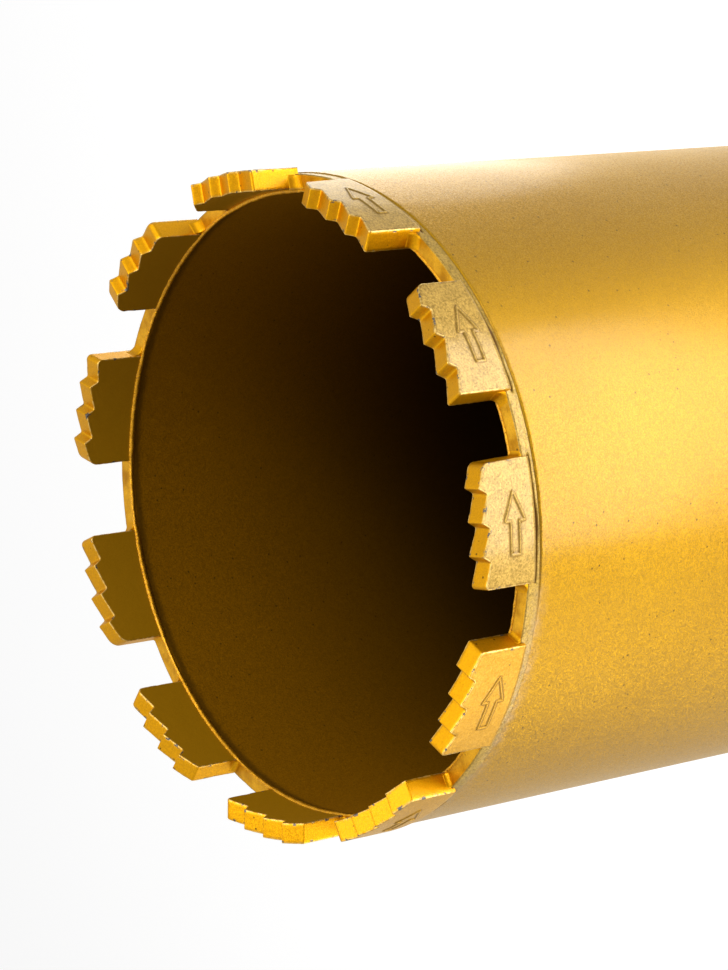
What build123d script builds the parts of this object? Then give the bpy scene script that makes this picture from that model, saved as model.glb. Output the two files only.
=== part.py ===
"""Wet diamond core bit, 132 mm over its segments, with a 450 mm barrel and a threaded hub.

Row frame: origin at the centre of the hub's back face, +Z along the bit's axis towards the
crown, +X through the middle of segment 1's nominal place. All sizes in millimetres.
"""
from build123d import *

import os

# ------------------------------------------------------------------ crown
CUT_RADIUS = 66.0             # cutting radius of the bit, over the segments
SEGMENT_COUNT = 11
SEGMENT_THICK = 4.2
SEGMENT_LENGTH = 23.4         # along the rim, between parallel end faces
SEGMENT_TIP_Z = 11.8          # tooth tips above the rim face
SEGMENT_PROUD = 0.6           # segments stand out from the barrel by this, for clearance in the cut
SEAT_DEPTH = 0.8              # how far a segment's root sits into the rim
SEAT_CLEARANCE = 0.05         # each side of a segment in its seat

# sawtooth: ramps that rise from the leading end to the trailing end, each ended by a steep drop
TOOTH_COUNT = 4
FIRST_TOOTH = 4.8             # leading end face to the first tip
TOOTH_DEPTH = 1.85            # tip down to notch
TOOTH_DROP = 1.1              # tip to notch, along the rim
TIP_RADIUS = 0.25
NOTCH_RADIUS = 0.45

# brazed feet: concave fillets where a segment's ends meet the rim face
LEAD_FOOT_RADIUS = 0.9
TRAIL_FOOT_RADIUS = 1.9
FOOT_TOE = 0.12               # blunt edge of a foot, so that it doesn't end in a knife
FOOT_INSET = 0.25             # feet stop this far short of both faces of the wall

# what differs from segment to segment, as they were pressed, set and dressed
SET_ERROR_DEG = [0.05, -1.3, -1.25, 1.45, 0.7, 1.2, 0.95, 1.3, -0.4, -1.65, -1.15]
SET_OUT = [0.45, 0, 0, 0, 0, 0, 0, 0, 0, 0, 0]
LEAD_CORNER_RADII = [1.5, 3.0, 2.4, 2.4, 0.4, 0.3, 0.3, 0.5, 1.8, 2.2, 1.2]
TRAIL_CORNER_RADII = [0.4, 1.0, 0.9, 1.0, 1.0, 0.6, 0.6, 0.6, 0.8, 0.4, 0.4]
LEAD_LEAN = [0.3, 0, 0, 0, 0, 0, 0, 0, 0.3, 0, 0.8]           # leading end, base to top
LEAD_DROP = [1.9, 0, 0, 0, 0, 0, 0, 0, 0, 0, 0]               # leading corner below the notches
LAST_TIP_DROP = [1.1, 0.7, 0.6, 0, 0, 0, 0, 0.5, 0.7, 0.2, 0.3]

# ------------------------------------------------------------------ barrel
BARREL_WALL = 3.4
BARREL_LENGTH = 450.0
BACK_CHAMFER = 0.8            # outer edge of the barrel's back end
RIM_BREAK = 0.25              # both edges of the rim face

# dressed band behind the rim, closed by a fine groove
BAND_WIDTH = 2.45
BAND_DEPTH = 0.2
GROOVE_WIDTH = 0.3
GROOVE_DEPTH = 0.45

# ------------------------------------------------------------------ end plate, welded into the bore
PLATE_THICK = 8.0
PLATE_EDGE_BREAK = 0.6

# ------------------------------------------------------------------ hub, welded through the plate
HUB_R = 28.0
HUB_LENGTH = 40.0             # back face to the end plate
HUB_CHAMFER = 1.0
SPIGOT_R = 21.0
THREAD_MINOR_R = 14.1         # plain bore at the minor diameter of the 1-1/4 inch, 7 per inch thread
MOUTH_CHAMFER = 1.8           # thread lead-in
FLAT_ACROSS = 46.0            # wrench flats
FLAT_HEIGHT = 18.0
FLAT_START = 10.0             # hub's back face to the flats

# ------------------------------------------------------------------ what follows from them
SEGMENT_INNER_R = CUT_RADIUS - SEGMENT_THICK
BARREL_OUTER_R = CUT_RADIUS - SEGMENT_PROUD
BORE_R = BARREL_OUTER_R - BARREL_WALL
BAND_R = BARREL_OUTER_R - BAND_DEPTH
GROOVE_R = BARREL_OUTER_R - GROOVE_DEPTH
PLATE_BACK_Z = HUB_LENGTH
PLATE_FRONT_Z = PLATE_BACK_Z + PLATE_THICK
RIM_Z = PLATE_BACK_Z + BARREL_LENGTH
RUN_OUT_START = BORE_R - 12   # cutting prisms start inside the core space and end outside the bit
RUN_OUT_LENGTH = 30


def revolved(points):
    """Solid of revolution about Z from (radius, height) corners."""
    outline = Polyline(*[(r, 0, z) for r, z in points], close=True)
    return revolve(make_face(outline), Axis.Z)


def ring(inner_r, outer_r, low_z, high_z):
    """Plain annulus between two heights."""
    return revolved([(inner_r, low_z), (outer_r, low_z), (outer_r, high_z), (inner_r, high_z)])


def across_rim(outline_points):
    """Sketch face on (along the rim, above the rim) corners, as seen from outside at angle 0."""
    return make_face(Polyline(*outline_points, close=True))


def run_out(face):
    """Extrude such a face along +X, from inside the core space to outside the bit."""
    start = Plane(origin=(RUN_OUT_START, 0, RIM_Z), x_dir=(0, 1, 0), z_dir=(1, 0, 0))
    return extrude(start * face, RUN_OUT_LENGTH)


def tooth_corners(number):
    """Corners of one segment's sawtooth edge, from the leading end (+) to the trailing end (-)."""
    lead_u = SEGMENT_LENGTH / 2
    notch_z = SEGMENT_TIP_Z - TOOTH_DEPTH
    pitch = (SEGMENT_LENGTH - FIRST_TOOTH) / (TOOTH_COUNT - 1)
    corners = [(lead_u - LEAD_LEAN[number], notch_z - LEAD_DROP[number])]
    for index in range(TOOTH_COUNT - 1):
        tip_u = lead_u - FIRST_TOOTH - index * pitch
        corners.append((tip_u, SEGMENT_TIP_Z))
        corners.append((tip_u - TOOTH_DROP, notch_z))
    corners.append((-lead_u, SEGMENT_TIP_Z - LAST_TIP_DROP[number]))
    return corners


def rounded(face, corners, radius):
    """Round the corners of a sketch face that lie at the given points."""
    wanted = [Vector(u, z, 0) for u, z in corners]
    chosen = [v for v in face.vertices() if any((Vector(*v) - w).length < 1e-4 for w in wanted)]
    return fillet(chosen, radius)


def segment_body(number):
    """One diamond segment at angle 0: flat ends, curved faces, sawtooth cutting edge."""
    half = SEGMENT_LENGTH / 2
    teeth = tooth_corners(number)
    face = across_rim([(half, -SEAT_DEPTH), (half, 0)] + teeth + [(-half, -SEAT_DEPTH)])
    face = rounded(face, teeth[:1], LEAD_CORNER_RADII[number])
    face = rounded(face, teeth[-1:], TRAIL_CORNER_RADII[number])
    face = rounded(face, teeth[1:-1:2], TIP_RADIUS)
    face = rounded(face, teeth[2:-1:2], NOTCH_RADIUS)
    wall = ring(SEGMENT_INNER_R, CUT_RADIUS, RIM_Z - 2 * SEAT_DEPTH, RIM_Z + 2 * SEGMENT_TIP_Z)
    return run_out(face) & Pos(SET_OUT[number], 0, 0) * wall


def foot(side, radius):
    """Concave braze foot at one end of a segment, as wide as the rim face."""
    end_u = side * SEGMENT_LENGTH / 2
    toe_u = end_u + side * (radius - FOOT_TOE)
    block = across_rim([(0, 0), (toe_u, 0), (toe_u, radius), (0, radius)])
    scoop = Pos(end_u + side * radius, radius) * Circle(radius)
    body = run_out(block - scoop)
    return body & ring(BORE_R + FOOT_INSET, BAND_R - FOOT_INSET, RIM_Z, RIM_Z + radius)


def segment_angle(number):
    """Angle of a segment's middle round the rim."""
    return number * 360 / SEGMENT_COUNT + SET_ERROR_DEG[number]


def segment(number):
    """Segment with both of its feet, in its place."""
    feet = foot(1, LEAD_FOOT_RADIUS) + foot(-1, TRAIL_FOOT_RADIUS)
    return Rot(0, 0, segment_angle(number)) * (segment_body(number) + feet)


def barrel():
    """Tube with a dressed band behind the rim and one seat for each segment."""
    groove_top = RIM_Z - BAND_WIDTH
    groove_low = groove_top - GROOVE_WIDTH
    tube = revolved([
        (BORE_R, PLATE_BACK_Z),
        (BARREL_OUTER_R - BACK_CHAMFER, PLATE_BACK_Z),
        (BARREL_OUTER_R, PLATE_BACK_Z + BACK_CHAMFER),
        (BARREL_OUTER_R, groove_low),
        (GROOVE_R, groove_low),
        (GROOVE_R, groove_top),
        (BAND_R, groove_top),
        (BAND_R, RIM_Z - RIM_BREAK),
        (BAND_R - RIM_BREAK, RIM_Z),
        (BORE_R + RIM_BREAK, RIM_Z),
        (BORE_R, RIM_Z - RIM_BREAK),
    ])
    half = SEGMENT_LENGTH / 2 + SEAT_CLEARANCE
    top = 2 * SEAT_DEPTH
    seat = run_out(across_rim([(half, -SEAT_DEPTH), (half, top), (-half, top), (-half, -SEAT_DEPTH)]))
    for number in range(SEGMENT_COUNT):
        tube -= Rot(0, 0, segment_angle(number)) * seat
    return tube


def end_plate():
    """Disc welded into the back of the barrel, bored for the hub's spigot."""
    return revolved([
        (SPIGOT_R, PLATE_BACK_Z),
        (BORE_R, PLATE_BACK_Z),
        (BORE_R, PLATE_FRONT_Z - PLATE_EDGE_BREAK),
        (BORE_R - PLATE_EDGE_BREAK, PLATE_FRONT_Z),
        (SPIGOT_R, PLATE_FRONT_Z),
    ])


def hub():
    """Drive hub: threaded bore right through for the water, spigot, two wrench flats."""
    body = revolved([
        (THREAD_MINOR_R + MOUTH_CHAMFER, 0),
        (HUB_R - HUB_CHAMFER, 0),
        (HUB_R, HUB_CHAMFER),
        (HUB_R, PLATE_BACK_Z),
        (SPIGOT_R, PLATE_BACK_Z),
        (SPIGOT_R, PLATE_FRONT_Z),
        (THREAD_MINOR_R, PLATE_FRONT_Z),
        (THREAD_MINOR_R, MOUTH_CHAMFER),
    ])
    for side in (-1, 1):
        middle = (side * (FLAT_ACROSS / 2 + HUB_R), 0, FLAT_START + FLAT_HEIGHT / 2)
        body -= Pos(*middle) * Box(2 * HUB_R, 2 * HUB_R, FLAT_HEIGHT)
    return body


def all_nodes():
    """Every separate solid by node name."""
    nodes = {"barrel": barrel(), "end_plate": end_plate(), "drive_hub": hub()}
    for number in range(SEGMENT_COUNT):
        nodes[f"segment_{number + 1:02d}"] = segment(number)
    return nodes


os.makedirs("parts", exist_ok=True)
for name, shape in all_nodes().items():
    shape.label = name
    export_step(shape, f"parts/{name}.step")
    print(name, "solids", len(shape.solids()), "volume", round(shape.volume, 1), "valid", shape.is_valid)
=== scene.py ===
"""Looks of a wet diamond core bit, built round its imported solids.

The frame is in metres: origin at the centre of the hub's back face, +Z along the bit's axis
towards the crown, +X through the nominal middle of segment 1. Sizes follow the source's, and each
dressed piece stands for the solid whose place it keeps.
"""

import logging
import math
from dataclasses import dataclass
from enum import IntEnum
from typing import Any, Optional, Sequence, Union

import bmesh
import bpy
import numpy as np
from mathutils import Matrix, Vector

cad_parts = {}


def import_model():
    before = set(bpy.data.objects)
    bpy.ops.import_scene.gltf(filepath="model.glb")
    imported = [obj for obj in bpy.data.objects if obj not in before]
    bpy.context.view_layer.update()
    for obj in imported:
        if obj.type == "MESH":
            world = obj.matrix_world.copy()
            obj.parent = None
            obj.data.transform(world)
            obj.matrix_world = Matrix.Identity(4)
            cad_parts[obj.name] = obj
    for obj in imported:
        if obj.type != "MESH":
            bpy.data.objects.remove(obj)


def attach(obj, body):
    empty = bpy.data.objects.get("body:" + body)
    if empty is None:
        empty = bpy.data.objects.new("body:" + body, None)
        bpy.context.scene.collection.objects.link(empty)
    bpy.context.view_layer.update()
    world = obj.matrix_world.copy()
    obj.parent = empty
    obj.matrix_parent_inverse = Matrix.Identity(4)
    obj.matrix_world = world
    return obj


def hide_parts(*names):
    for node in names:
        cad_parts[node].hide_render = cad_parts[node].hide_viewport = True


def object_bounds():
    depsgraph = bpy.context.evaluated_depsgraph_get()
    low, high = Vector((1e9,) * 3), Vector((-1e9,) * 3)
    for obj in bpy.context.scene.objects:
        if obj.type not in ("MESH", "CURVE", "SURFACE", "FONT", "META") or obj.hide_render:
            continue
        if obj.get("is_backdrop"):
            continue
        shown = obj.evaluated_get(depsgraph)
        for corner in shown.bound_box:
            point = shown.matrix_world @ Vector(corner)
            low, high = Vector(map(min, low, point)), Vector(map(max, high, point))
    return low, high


MM = 0.001
TURN = 2 * math.pi
WELD_GAP = 0.002 * MM            # points closer than this become one
CRISP = math.radians(24)         # a turned piece's edge sharper than this is shaded sharp
STEEP = 30.0                     # past this the exponent of a soft step makes no difference
Colour = tuple[float, float, float]

log = logging.getLogger("core_bit")


# ------------------------------------------------------------------ objects
def placed(name: str, data: Any) -> bpy.types.Object:
    """Makes an object of a mesh, lamp or camera and links it to the scene, at the origin.

    Args:
        name: the object's name.
        data: what it shows.

    Returns:
        The new object.
    """
    made = bpy.data.objects.new(name, data)
    bpy.context.scene.collection.objects.link(made)
    return made


def bare(name: str, points: Sequence[Any], links: Sequence[tuple[int, int]] = ()) -> bpy.types.Object:
    """Makes an object of points and edges alone, for a tree to start from.

    Args:
        name: the object's name.
        points: its points, in metres.
        links: the pairs of points that an edge joins.

    Returns:
        The new object.
    """
    mesh = bpy.data.meshes.new(name)
    mesh.from_pydata(points, links, [])
    return placed(name, mesh)


def places(piece: bpy.types.Object) -> np.ndarray:
    """Reads the vertices of a piece.

    Args:
        piece: an object with a mesh.

    Returns:
        One point for each vertex.
    """
    flat = np.empty(len(piece.data.vertices) * 3)
    piece.data.vertices.foreach_get("co", flat)
    return flat.reshape(-1, 3)


def note(piece: bpy.types.Object, name: str, values: np.ndarray) -> None:
    """Keeps one number for each vertex of a piece, for its finish or a tree to read."""
    layer = piece.data.attributes.new(name, "FLOAT", "POINT")
    layer.data.foreach_set("value", values.astype(np.float32))


def emptied(owner: Union[bpy.types.Material, bpy.types.World]) -> bpy.types.NodeTree:
    """Clears the node tree of a material or a world.

    Args:
        owner: what the tree belongs to.

    Returns:
        The empty tree.
    """
    owner.use_nodes = True
    owner.node_tree.nodes.clear()
    return owner.node_tree


# ------------------------------------------------------------------ node trees
class Value:
    """A number carried by a node socket, with the arithmetic that this file uses."""

    def __init__(self, graph: "Graph", socket: bpy.types.NodeSocket) -> None:
        """Wraps an output socket of a tree."""
        self.graph = graph
        self.socket = socket

    def math(self, operation: str, other: Union["Value", float]) -> "Value":
        """The result of one Math node, whose first operand is this number."""
        return self.graph.value(self.graph.node("ShaderNodeMath", {"operation": operation}, {0: self, 1: other}))

    def __add__(self, other: Union["Value", float]) -> "Value":
        """Sum."""
        return self.math("ADD", other)

    def __mul__(self, other: Union["Value", float]) -> "Value":
        """Product."""
        return self.math("MULTIPLY", other)

    def __sub__(self, other: Union["Value", float]) -> "Value":
        """Difference."""
        return self.math("SUBTRACT", other)

    def __rsub__(self, other: float) -> "Value":
        """Difference from a plain number."""
        return (self * -1.0) + other

    __radd__ = __add__
    __rmul__ = __mul__

    def ramp(self, nought: float, one: float) -> "Value":
        """Smooth step of this number from 0 to 1.

        Args:
            nought: where the result is 0; it may be above the other, for a falling step.
            one: where the result is 1.

        Returns:
            The stepped number.
        """
        falls = nought > one
        ends = {"From Min": min(nought, one), "From Max": max(nought, one)}
        ends |= {"To Min": float(falls), "To Max": float(not falls)}
        settings = {"interpolation_type": "SMOOTHSTEP"}
        return self.graph.value(self.graph.node("ShaderNodeMapRange", settings, {"Value": self, **ends}))


class Graph:
    """A node tree that is filled node by node."""

    def __init__(self, tree: bpy.types.NodeTree) -> None:
        """Wraps a tree."""
        self.tree = tree

    def node(
        self,
        kind: str,
        settings: Optional[dict[str, Any]] = None,
        inputs: Optional[dict[Any, Any]] = None,
    ) -> bpy.types.Node:
        """Adds one node.

        Args:
            kind: the node's type.
            settings: its properties, set before its sockets.
            inputs: by name or number, the values or links of its sockets.

        Returns:
            The new node.
        """
        made = self.tree.nodes.new(kind)
        for key, value in (settings or {}).items():
            setattr(made, key, value)
        for key, value in (inputs or {}).items():
            source = value.socket if isinstance(value, Value) else value
            if isinstance(source, bpy.types.NodeSocket):
                self.tree.links.new(source, made.inputs[key])
            else:
                made.inputs[key].default_value = source
        return made

    def value(self, node: bpy.types.Node, output: Union[str, int] = 0) -> Value:
        """A node's output as a number."""
        return Value(self, node.outputs[output])

    def vector(self, operation: str, inputs: dict[Any, Any]) -> bpy.types.NodeSocket:
        """The result of one Vector Math node."""
        return self.node("ShaderNodeVectorMath", {"operation": operation}, inputs).outputs[0]


class Recipe(Graph):
    """A Geometry Nodes tree with named inputs, run on one object and kept as a plain mesh."""

    def __init__(self, name: str, sizes: dict[str, str]) -> None:
        """Makes the empty tree.

        Args:
            name: the tree's name.
            sizes: each named input and its kind of socket, such as Float or Object.
        """
        super().__init__(bpy.data.node_groups.new(name, "GeometryNodeTree"))
        face = self.tree.interface
        face.new_socket("Geometry", in_out="INPUT", socket_type="NodeSocketGeometry")
        for label, kind in {**sizes, "Finish": "Material"}.items():
            face.new_socket(label, in_out="INPUT", socket_type=f"NodeSocket{kind}")
        face.new_socket("Geometry", in_out="OUTPUT", socket_type="NodeSocketGeometry")
        self.given = self.tree.nodes.new("NodeGroupInput").outputs

    def size(self, label: str) -> Value:
        """One of the tree's named inputs."""
        return Value(self, self.given[label])

    def close(self, geometry: bpy.types.NodeSocket) -> None:
        """Ends the tree: instances made real, shaded smooth, finish set.

        Args:
            geometry: what the tree has made.
        """
        real = self.node("GeometryNodeRealizeInstances", inputs={0: geometry})
        smooth = self.node("GeometryNodeSetShadeSmooth", inputs={0: real.outputs[0]})
        dressed = self.node(
            "GeometryNodeSetMaterial",
            inputs={"Geometry": smooth.outputs[0], "Material": self.given["Finish"]},
        )
        self.node("NodeGroupOutput", inputs={0: dressed.outputs[0]})

    def swollen(self, geometry: bpy.types.NodeSocket, amount: str, size: str) -> bpy.types.NodeSocket:
        """Pushes a surface in and out along its normals by noise from the tree's own seed.

        Args:
            geometry: the surface.
            amount: name of the input with the greatest push.
            size: name of the input with the size of the swells.

        Returns:
            The uneven surface.
        """
        noise = self.node(
            "ShaderNodeTexNoise",
            {"noise_dimensions": "4D"},
            {"W": self.given["Seed"], "Scale": self.size(size).math("POWER", -1.0), "Detail": 2.0},
        )
        lift = (self.value(noise) - 0.5) * self.size(amount)
        return self.pushed(geometry, lift)

    def pushed(self, geometry: bpy.types.NodeSocket, lift: Value) -> bpy.types.NodeSocket:
        """Moves each point of a surface along its normal.

        Args:
            geometry: the surface.
            lift: how far.

        Returns:
            The moved surface.
        """
        normal = self.node("GeometryNodeInputNormal").outputs[0]
        push = self.vector("SCALE", {0: normal, "Scale": lift})
        return self.node("GeometryNodeSetPosition", inputs={"Geometry": geometry, "Offset": push}).outputs[0]

    def run(self, carrier: bpy.types.Object, values: dict[str, Any], name: str) -> bpy.types.Object:
        """Runs the tree on an object and keeps the result.

        Args:
            carrier: the object that the tree starts from; it is removed.
            values: the tree's inputs by name.
            name: the new piece's name.

        Returns:
            The new piece, a plain mesh at the origin.
        """
        modifier = carrier.modifiers.new(name, "NODES")
        modifier.node_group = self.tree
        sockets = {item.name: item.identifier for item in self.tree.interface.items_tree}
        for label, value in values.items():
            modifier[sockets[label]] = value
        bpy.context.view_layer.update()
        graph = bpy.context.evaluated_depsgraph_get()
        mesh = bpy.data.meshes.new_from_object(carrier.evaluated_get(graph))
        carrier.modifiers.remove(modifier)
        bpy.data.objects.remove(carrier)
        mesh.name = name
        return placed(name, mesh)


# ------------------------------------------------------------------ meshes
@dataclass(frozen=True)
class Unevenness:
    """Smooth, repeatable unevenness of a worked surface: a sum of seeded waves.

    Fields:
        seed: which unevenness.
        shortest: shortest wave, in metres.
        longest: longest wave, in metres.
        waves: how many waves.
        evening: brings their sum to about 1.
    """

    seed: int
    shortest: float
    longest: float
    waves: int = 14
    evening: float = 0.7

    def at(self, points: np.ndarray) -> np.ndarray:
        """Height from about -1 to 1 at each point.

        Args:
            points: places in metres, the last axis x, y, z.

        Returns:
            One number for each place.
        """
        dice = np.random.default_rng(self.seed)
        ways = dice.normal(size=(self.waves, 3))
        ways /= np.linalg.norm(ways, axis=1, keepdims=True)
        lengths = np.geomspace(self.shortest, self.longest, self.waves)
        phases = dice.uniform(0, TURN, self.waves)
        total = np.zeros(points.shape[:-1])
        for way, length, phase in zip(ways, lengths, phases):
            total += np.sin(points @ way * (TURN / length) + phase)
        return total / math.sqrt(self.waves) * self.evening


class Skin:
    """Patches of quads, gathered into one mesh whose seams are closed."""

    def __init__(self) -> None:
        """Starts with no patch."""
        self.points: list[np.ndarray] = []
        self.faces: list[np.ndarray] = []
        self.zones: list[np.ndarray] = []
        self.count = 0

    def patch(self, grid: np.ndarray, zone: int = 0, around: bool = False) -> None:
        """Adds the quads of a grid of points.

        Args:
            grid: rows by columns by 3, in metres.
            zone: the patch's finish, as a slot number.
            around: whether the last column joins the first.
        """
        rows, columns = grid.shape[:2]
        ids = self.count + np.arange(rows * columns).reshape(rows, columns)
        if around:
            ids = np.concatenate([ids, ids[:, :1]], axis=1)
        quads = np.stack([ids[:-1, :-1], ids[:-1, 1:], ids[1:, 1:], ids[1:, :-1]], axis=-1)
        self.points.append(grid.reshape(-1, 3))
        self.faces.append(quads.reshape(-1, 4))
        self.zones.append(np.full(quads.size // 4, zone))
        self.count += rows * columns

    def object(
        self, name: str, finishes: Sequence[bpy.types.Material] = (), crisp: Optional[float] = None
    ) -> bpy.types.Object:
        """Welds the patches and makes the object.

        Args:
            name: the piece's name.
            finishes: its materials, in the order of the zones.
            crisp: angle in radians past which an edge is shaded sharp; None shades all smooth.

        Returns:
            The new object, its faces outward.
        """
        mesh = bpy.data.meshes.new(name)
        mesh.from_pydata(np.concatenate(self.points).tolist(), [], np.concatenate(self.faces).tolist())
        mesh.polygons.foreach_set("material_index", np.concatenate(self.zones).astype(np.int32))
        shape = bmesh.new()
        shape.from_mesh(mesh)
        bmesh.ops.remove_doubles(shape, verts=shape.verts, dist=WELD_GAP)
        bmesh.ops.recalc_face_normals(shape, faces=shape.faces)
        shape.to_mesh(mesh)
        shape.free()
        mesh.shade_smooth()
        if crisp is not None:
            mesh.set_sharp_from_angle(angle=crisp)
        for finish in finishes:
            mesh.materials.append(finish)
        return placed(name, mesh)


def angles(count: int) -> np.ndarray:
    """Even angles once round the axis, as one row."""
    return np.linspace(0, TURN, count, endpoint=False)[None, :]


def turned(radius: Any, angle: np.ndarray, height: Any) -> np.ndarray:
    """Points of given radius, angle about the bit's axis and height."""
    return np.stack(np.broadcast_arrays(radius * np.cos(angle), radius * np.sin(angle), height), axis=-1)


def soft_step(past: np.ndarray) -> np.ndarray:
    """Falls from 1 to 0 as a number passes 0."""
    return 1 / (1 + np.exp(np.clip(past, -STEEP, STEEP)))


def rounded(corners: Sequence[tuple[float, float]], radii: Sequence[float], step: float) -> np.ndarray:
    """An open outline with its inner corners rounded.

    Args:
        corners: the outline's corners in order.
        radii: the radius at each corner; 0 keeps it sharp.
        step: longest step along an arc, which has at least three.

    Returns:
        The points of the outline.
    """
    done: list[np.ndarray] = []
    spots = [np.array(corner, float) for corner in corners]
    for index, (spot, radius) in enumerate(zip(spots, radii)):
        if radius <= 0 or index in (0, len(spots) - 1):
            done.append(spot)
            continue
        before = (spots[index - 1] - spot) / np.linalg.norm(spots[index - 1] - spot)
        after = (spots[index + 1] - spot) / np.linalg.norm(spots[index + 1] - spot)
        half = math.acos(np.clip(before @ after, -1, 1)) / 2
        bisector = (before + after) / np.linalg.norm(before + after)
        centre = spot + bisector * radius / math.sin(half)
        start = spot + before * radius / math.tan(half) - centre
        finish = spot + after * radius / math.tan(half) - centre
        sweep = math.pi - 2 * half
        steps = max(3, math.ceil(sweep * radius / step))
        for share in np.linspace(0, 1, steps + 1):
            mixed = start * math.sin((1 - share) * sweep) + finish * math.sin(share * sweep)
            done.append(centre + mixed / math.sin(sweep))
    return np.array(done)


def filled(outline: np.ndarray, spacing: float) -> np.ndarray:
    """Adds points to an outline so that none are further apart than a spacing.

    Args:
        outline: its corners in order.
        spacing: the widest gap that is left.

    Returns:
        The points of the fuller outline.
    """
    parts = []
    for start, end in zip(outline[:-1], outline[1:]):
        count = max(1, math.ceil(np.linalg.norm(end - start) / spacing))
        parts.append(start + (end - start) * np.linspace(0, 1, count, endpoint=False)[:, None])
    return np.concatenate(parts + [outline[-1:]])


def distance_to(outline: np.ndarray, points: np.ndarray) -> np.ndarray:
    """Measures from points to an open outline, both in two dimensions.

    Args:
        outline: its corners in order.
        points: places, the last axis of two.

    Returns:
        The distance from each point to the nearest part of the outline.
    """
    best = np.full(points.shape[:-1], np.inf)
    for start, end in zip(outline[:-1], outline[1:]):
        along = end - start
        share = np.clip(((points - start) @ along) / max(along @ along, 1e-18), 0, 1)
        best = np.minimum(best, np.linalg.norm(points - start - share[..., None] * along, axis=-1))
    return best


# ------------------------------------------------------------------ finishes
class Pattern(Graph):
    """A material's tree, with the patterns that the finishes share, laid in the piece's own space."""

    # A speck's solid middle, as a share of its radius, and which cells have a speck: those whose
    # own number is past this step.
    speck_heart: float = 0.4
    speck_odds: tuple[float, float] = (0.55, 0.7)
    # Shares of a sandy face's fine noise, its grains' own tones and its broad noise, and the colour
    # of a pit, as a share of the darkest grains'.
    sand_shares: tuple[float, float, float] = (0.4, 0.4, 0.2)
    pit_tone: float = 0.45

    def __init__(self, material: bpy.types.Material) -> None:
        """Starts a material's tree afresh."""
        super().__init__(emptied(material))
        self.spot = self.node("ShaderNodeTexCoord").outputs["Object"]

    def noise(self, size: float, detail: float) -> Value:
        """Even noise with features of a given size."""
        inputs = {"Vector": self.spot, "Scale": 1 / size, "Detail": detail, "Roughness": 0.55}
        return self.value(self.node("ShaderNodeTexNoise", inputs=inputs))

    def noted(self, name: str) -> Value:
        """A number kept for each vertex of the piece."""
        return self.value(self.node("ShaderNodeAttribute", {"attribute_name": name}), "Fac")

    def mix(self, share: Union[Value, float], low: Any, high: Any) -> bpy.types.NodeSocket:
        """Mixes two colours, each plain or a socket's: share 0 gives the first, 1 the second."""
        sides = [(*side, 1.0) if isinstance(side, tuple) else side for side in (low, high)]
        return self.node("ShaderNodeMix", {"data_type": "RGBA"}, {0: share, 6: sides[0], 7: sides[1]}).outputs[2]

    def cells(self, size: float) -> bpy.types.Node:
        """Cells of a given size, each with a random colour."""
        return self.node("ShaderNodeTexVoronoi", inputs={"Vector": self.spot, "Scale": 1 / size})

    def chance(self, cells: bpy.types.Node, which: int = 0) -> Value:
        """A random number of each cell's own, from 0 to 1; there are three."""
        return self.value(self.node("ShaderNodeSeparateColor", inputs={0: cells.outputs["Color"]}), which)

    def specks(self, apart: float, size: float) -> Value:
        """Sparse specks.

        Args:
            apart: how far one is from the next, in metres.
            size: a speck's radius, as a share of that.

        Returns:
            1 in a speck, 0 elsewhere.
        """
        cells = self.cells(apart)
        near = self.value(cells, "Distance").ramp(size, size * self.speck_heart)
        return near * self.chance(cells, 1).ramp(*self.speck_odds)

    def sandy(self, size: float, dark: Colour, light: Colour) -> bpy.types.NodeSocket:
        """Colour of a coarse, cast face, where each grain has its own tone and pits lie between.

        Args:
            size: of a grain, in metres.
            dark: colour of the darkest grains.
            light: colour of the lightest.

        Returns:
            The socket of the colour.
        """
        parts = self.noise(size * 1.3, 4).ramp(0.36, 0.62), self.chance(self.cells(size))
        parts += (self.noise(size * 9, 3).ramp(0.35, 0.65),)
        fine, tone, broad = (part * share for part, share in zip(parts, self.sand_shares))
        pit = tuple(part * self.pit_tone for part in dark)
        return self.mix(self.specks(size * 2.6, 0.2) * 0.8, self.mix(fine + tone + broad, dark, light), pit)


@dataclass
class Layers:
    """What a finish varies over the surface.

    Fields:
        colour: socket of its colour.
        roughness: of the flake layer.
        height: of its relief, in shares of the finish's own relief.
        metallic: share of metal flake.
        coat: share of the clear coat.
    """

    colour: bpy.types.NodeSocket
    roughness: Value
    height: Value
    metallic: Union[Value, float]
    coat: Union[Value, float]


@dataclass(frozen=True)
class Speck:
    """One kind of speck in the paint.

    Fields:
        colour: its colour, linear.
        apart: how far one is from the next, in metres.
        size: its radius, as a share of that.
        strength: how far it hides the paint.
    """

    colour: Colour
    apart: float
    size: float
    strength: float


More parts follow.
